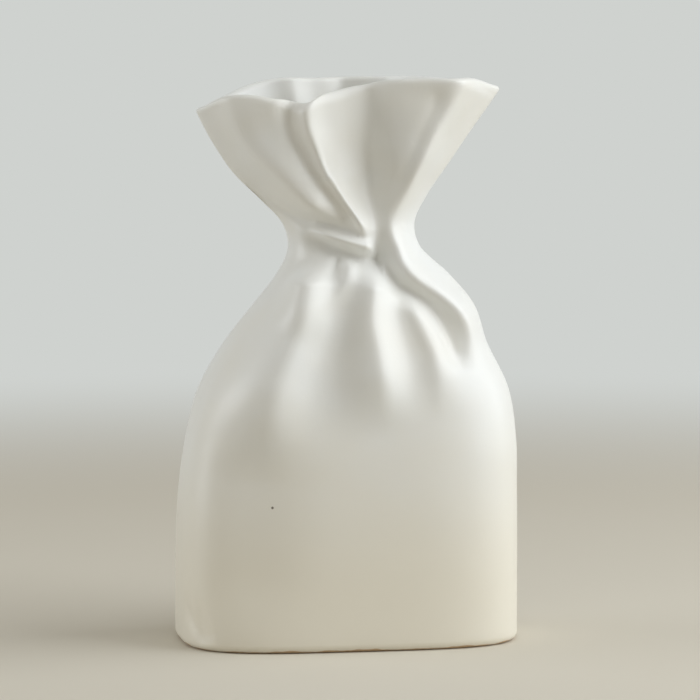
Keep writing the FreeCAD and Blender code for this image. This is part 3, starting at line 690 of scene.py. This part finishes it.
def satin_white_glaze(finish, speck):
    """Satin white glaze, poured over slip-cast clay and fired.

    It gives a soft wide highlight, slightly dimpled like an orange's skin. It thins on crests, where the
    clay warms it, and stops in a wavering line just above the foot. Towards the foot a painted warm
    reflection of the floor is mixed into its colour. One pinhole is left at the speck, its pit painted as a
    dark dot of shade.
    """
    material, tree, output = new_material("satin_white_glaze")
    where = tree.nodes.new("ShaderNodeTexCoord").outputs["Object"]
    cloud = add_node(tree, "TexNoise", Vector=where, Scale=1 / CLOUD_WIDTH, Detail=FINE_LAYERS,
                     Roughness=CLOUD_LAYER_SHARE)
    crest = add_node(tree, "MapRange", Value=tree.nodes.new("ShaderNodeNewGeometry").outputs["Pointiness"],
                     From_Min=CREST_START, From_Max=CREST_FULL, To_Max=CREST_SHARE)
    thin = add_node(tree, "MapRange", Value=cloud.outputs["Fac"], From_Min=CLOUD_START, From_Max=CLOUD_FULL,
                    To_Max=CLOUD_SHARE)
    thinner = add_node(tree, "Math", {"operation": "MAXIMUM"}, _0=crest.outputs[0], _1=thin.outputs[0])
    glaze = add_node(tree, "Mix", {"data_type": "RGBA"}, Factor=thinner.outputs[0],
                     _6=(*finish.glaze, 1), _7=(*finish.thin_glaze, 1))
    # Towards the foot a painted warm reflection of the floor is mixed into the glaze
    level = add_node(tree, "SeparateXYZ", Vector=where).outputs["Z"]
    low = add_node(tree, "MapRange", {"interpolation_type": "SMOOTHSTEP"}, Value=level,
                   From_Min=PAINTED_REFLECTION_FULL, From_Max=PAINTED_REFLECTION_END, To_Min=1.0, To_Max=0.0)
    reflected_glaze = add_node(tree, "Mix", {"data_type": "RGBA"}, Factor=low.outputs[0],
                      _6=glaze.outputs[MIXED_COLOUR], _7=(*finish.painted_floor_reflection, 1))
    # The glaze's lower edge wavers about its mean level above the foot
    waver = add_node(tree, "TexNoise", Vector=where, Scale=1 / EDGE_WAVER_LENGTH, Detail=PLAIN_LAYERS)
    edge = add_node(tree, "MapRange", Value=waver.outputs["Fac"], From_Min=NOISE_LOW, From_Max=NOISE_HIGH,
                    To_Min=EDGE_LEVEL - EDGE_WAVER, To_Max=EDGE_LEVEL + EDGE_WAVER)
    above = add_node(tree, "Math", {"operation": "SUBTRACT"}, _0=level, _1=edge.outputs[0])
    bare = add_node(tree, "MapRange", Value=above.outputs[0], From_Min=-EDGE_FADE, From_Max=EDGE_FADE,
                    To_Min=1.0, To_Max=0.0)
    body = add_node(tree, "Mix", {"data_type": "RGBA"}, Factor=bare.outputs[0],
                    _6=reflected_glaze.outputs[MIXED_COLOUR], _7=(*finish.clay, 1))
    # The pinhole is a dark dot round the speck, its colour painted shade of the pit where the glaze did not
    # close
    off = add_node(tree, "VectorMath", {"operation": "DISTANCE"}, _0=where, _1=speck)
    pit = add_node(tree, "MapRange", {"interpolation_type": "SMOOTHSTEP"}, Value=off.outputs["Value"],
                   From_Min=PINHOLE_RADIUS / 2, From_Max=PINHOLE_RADIUS, To_Min=1.0, To_Max=0.0)
    surface = add_node(tree, "Mix", {"data_type": "RGBA"}, Factor=pit.outputs[0],
                       _6=body.outputs[MIXED_COLOUR], _7=(*finish.pinhole, 1))
    # Its gloss changes a little from place to place, and the bare edge is dry
    gloss = add_node(tree, "TexNoise", Vector=where, Scale=1 / GLOSS_WIDTH, Detail=FINE_LAYERS)
    rough = add_node(tree, "MapRange", Value=gloss.outputs["Fac"], From_Min=NOISE_LOW, From_Max=NOISE_HIGH,
                     To_Min=finish.roughness - SMOOTHER, To_Max=finish.roughness + ROUGHER)
    dry = add_node(tree, "MapRange", Value=bare.outputs[0], To_Min=0.0, To_Max=DRY_ROUGHER)
    roughness = add_node(tree, "Math", {"operation": "ADD"}, _0=rough.outputs[0], _1=dry.outputs[0])
    # Broad waves of the slip-cast wall, then the fine dimples of the glaze
    wave = add_node(tree, "TexNoise", Vector=where, Scale=1 / WAVE_WIDTH, Detail=SMOOTH_LAYERS)
    waves = add_node(tree, "Bump", Height=wave.outputs["Fac"], Distance=WAVE_HEIGHT, Strength=1.0)
    dimple = add_node(tree, "TexNoise", Vector=where, Scale=1 / DIMPLE_WIDTH, Detail=PLAIN_LAYERS)
    dimples = add_node(tree, "Bump", Height=dimple.outputs["Fac"], Distance=DIMPLE_HEIGHT, Strength=1.0,
                       Normal=waves.outputs[0])
    shader = add_node(tree, "BsdfPrincipled", Base_Color=surface.outputs[MIXED_COLOUR],
                      Roughness=roughness.outputs[0], Normal=dimples.outputs[0], IOR=CERAMIC_IOR)
    tree.links.new(shader.outputs[0], output.inputs[0])
    return material


def bare_clay(finish):
    """Fired clay without glaze, wiped clean before the firing: dry, warm and slightly gritty."""
    material, tree, output = new_material("bare_fired_clay")
    where = tree.nodes.new("ShaderNodeTexCoord").outputs["Object"]
    grit = add_node(tree, "TexNoise", Vector=where, Scale=1 / GRIT_WIDTH, Detail=FINE_LAYERS,
                    Roughness=GRIT_LAYER_SHARE)
    stain = add_node(tree, "TexNoise", Vector=where, Scale=1 / CLOUD_WIDTH, Detail=PLAIN_LAYERS)
    mottled = add_node(tree, "Math", {"operation": "MULTIPLY"},
                       _0=grit.outputs["Fac"], _1=stain.outputs["Fac"])
    shade = add_node(tree, "MapRange", Value=mottled.outputs[0], From_Min=STAIN_START, From_Max=STAIN_END)
    clay = add_node(tree, "Mix", {"data_type": "RGBA"}, Factor=shade.outputs[0],
                    _6=(*finish.damp_clay, 1), _7=(*finish.clay, 1))
    bump = add_node(tree, "Bump", Height=grit.outputs["Fac"], Distance=GRIT_HEIGHT, Strength=1.0)
    shader = add_node(tree, "BsdfPrincipled", Base_Color=clay.outputs[MIXED_COLOUR],
                      Roughness=CLAY_ROUGHNESS, Normal=bump.outputs[0], IOR=CERAMIC_IOR)
    tree.links.new(shader.outputs[0], output.inputs[0])
    return material


def speck_distance(place):
    """How far a point lies from the pinhole, seen from the front; of two alike the one in front is less."""
    return math.hypot(place.x - PINHOLE_X, place.z - PINHOLE_LEVEL) + place.y


class VASE_OT_body(bpy.types.Operator):
    """Make the vase's body, the one fired piece that it is."""

    bl_idname = "vase.body"
    bl_label = "Vase body"

    def execute(self, context):
        scene = context.scene
        slots = ["glaze", "clay"]
        mesh = skin_mesh("vase_body_glazed", skin_rings(VaseShape(scene.vase_sizes)), slots)
        speck = min((vertex.co for vertex in mesh.vertices if vertex.co.y < 0), key=speck_distance).copy()
        mesh.materials.append(satin_white_glaze(scene.vase_finish, speck))
        mesh.materials.append(bare_clay(scene.vase_finish))
        piece = bpy.data.objects.new(mesh.name, mesh)
        scene.collection.objects.link(piece)
        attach(piece, "root")
        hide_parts(NODE)
        return {"FINISHED"}


class VASE_OT_stage(bpy.types.Operator):
    """Make the plain floor, the lamps, the even light and the camera."""

    bl_idname = "vase.stage"
    bl_label = "Stage"

    def execute(self, context):
        stage = context.scene.vase_stage
        add_floor(context.scene, stage)
        for name, turn, rise, size in LAMPS:
            add_lamp(context.scene, name, away(turn, rise), size, getattr(stage, name), stage.lamp_colour)
        add_world(context.scene, stage)
        add_camera(context.scene)
        return {"FINISHED"}


def seen_directly(tree):
    """1 for the rays that show the backdrop: those of the camera, of a mirror and of clear glass."""
    rays = tree.nodes.new("ShaderNodeLightPath")
    first = add_node(tree, "Math", {"operation": "MAXIMUM"}, _0=rays.outputs["Is Camera Ray"],
                     _1=rays.outputs["Is Glossy Ray"])
    return add_node(tree, "Math", {"operation": "MAXIMUM"}, _0=first.outputs[0],
                    _1=rays.outputs["Is Transmission Ray"]).outputs[0]


def add_floor(scene, stage):
    """Floor of matt paint, plain and pale, that melts into the backdrop away from the vase."""
    bm = bmesh.new()
    bmesh.ops.create_circle(bm, cap_ends=True, segments=FLOOR_SIDES, radius=FLOOR_RADIUS)
    mesh = bpy.data.meshes.new("floor")
    bm.to_mesh(mesh)
    bm.free()
    floor = bpy.data.objects.new("floor", mesh)
    scene.collection.objects.link(floor)
    material, tree, output = new_material("painted_floor")
    where = tree.nodes.new("ShaderNodeTexCoord").outputs["Object"]
    reach = add_node(tree, "VectorMath", {"operation": "LENGTH"}, Vector=where).outputs["Value"]
    fade = add_node(tree, "MapRange", {"interpolation_type": "SMOOTHSTEP"}, Value=reach,
                    From_Min=FLOOR_FADE_START, From_Max=FLOOR_FADE_END)
    both = add_node(tree, "Math", {"operation": "MULTIPLY"}, _0=fade.outputs[0], _1=seen_directly(tree))
    paint = add_node(tree, "BsdfPrincipled", Base_Color=(*stage.floor, 1), Roughness=FLOOR_ROUGHNESS)
    backdrop = add_node(tree, "Emission", Color=(*stage.backdrop, 1), Strength=1.0)
    mixed = add_node(tree, "MixShader", _0=both.outputs[0], _1=paint.outputs[0], _2=backdrop.outputs[0])
    tree.links.new(mixed.outputs[0], output.inputs[0])
    mesh.materials.append(material)


def away(turn, rise):
    """Direction from the vase that is turned to the right of the front and raised, both in degrees."""
    turn, rise = math.radians(turn), math.radians(rise)
    return Vector((math.sin(turn) * math.cos(rise), -math.cos(turn) * math.cos(rise), math.sin(rise)))


def add_lamp(scene, name, direction, size, power, colour):
    """Soft box that is aimed at the vase."""
    light = bpy.data.lights.new(name, "AREA")
    light.shape = "RECTANGLE"
    light.size, light.size_y = size
    light.energy = power
    light.color = colour
    lamp = bpy.data.objects.new(name, light)
    lamp.location = LAMP_AIM + direction * LAMP_DISTANCE
    lamp.rotation_euler = (-direction).to_track_quat("-Z", "Y").to_euler()
    scene.collection.objects.link(lamp)


def add_world(scene, stage):
    """Even light from all round, and the pale backdrop for the rays that show it."""
    world = bpy.data.worlds.new("studio")
    world.use_nodes = True
    tree = world.node_tree
    tree.nodes.clear()
    light = add_node(tree, "Background", Color=(*stage.sky_colour, 1), Strength=stage.sky)
    backdrop = add_node(tree, "Background", Color=(*stage.backdrop, 1), Strength=1.0)
    mixed = add_node(tree, "MixShader", _0=seen_directly(tree), _1=light.outputs[0], _2=backdrop.outputs[0])
    tree.links.new(mixed.outputs[0], tree.nodes.new("ShaderNodeOutputWorld").inputs[0])
    scene.world = world


def add_camera(scene):
    """Camera at the photograph's angle."""
    data = bpy.data.cameras.new("camera")
    data.sensor_width = SENSOR_WIDTH
    data.lens = FOCAL_LENGTH
    camera = bpy.data.objects.new("camera", data)
    direction = away(CAMERA_TURN, CAMERA_RISE)
    camera.location = CAMERA_AIM + direction * CAMERA_DISTANCE
    camera.rotation_euler = (-direction).to_track_quat("-Z", "Y").to_euler()
    scene.collection.objects.link(camera)
    scene.camera = camera
    scene.view_settings.view_transform = "Standard"


class VASE_PT_panel(bpy.types.Panel):
    """Sizes, finish and stage of the vase."""

    bl_label = "Vase"
    bl_idname = "VASE_PT_panel"
    bl_space_type = "VIEW_3D"
    bl_region_type = "UI"
    bl_category = "Vase"

    def draw(self, context):
        groups = (("vase_sizes", VASE_OT_body), ("vase_finish", None), ("vase_stage", VASE_OT_stage))
        for group, operator in groups:
            settings = getattr(context.scene, group)
            box = self.layout.box()
            for name in settings.__annotations__:
                box.prop(settings, name)
            if operator:
                box.operator(operator.bl_idname)


CLASSES = (VaseSizes, VaseFinish, VaseStage, VASE_OT_body, VASE_OT_stage, VASE_PT_panel)


def register():
    """Register the classes and hang their settings on the scene."""
    for cls in CLASSES:
        bpy.utils.register_class(cls)
    bpy.types.Scene.vase_sizes = bpy.props.PointerProperty(type=VaseSizes)
    bpy.types.Scene.vase_finish = bpy.props.PointerProperty(type=VaseFinish)
    bpy.types.Scene.vase_stage = bpy.props.PointerProperty(type=VaseStage)


def unregister():
    """Take the settings and the classes away again."""
    del bpy.types.Scene.vase_stage
    del bpy.types.Scene.vase_finish
    del bpy.types.Scene.vase_sizes
    for cls in reversed(CLASSES):
        bpy.utils.unregister_class(cls)


def main():
    """Make everything in order."""
    register()
    bpy.ops.vase.body()
    bpy.ops.vase.stage()


if __name__ == "__main__":
    main()
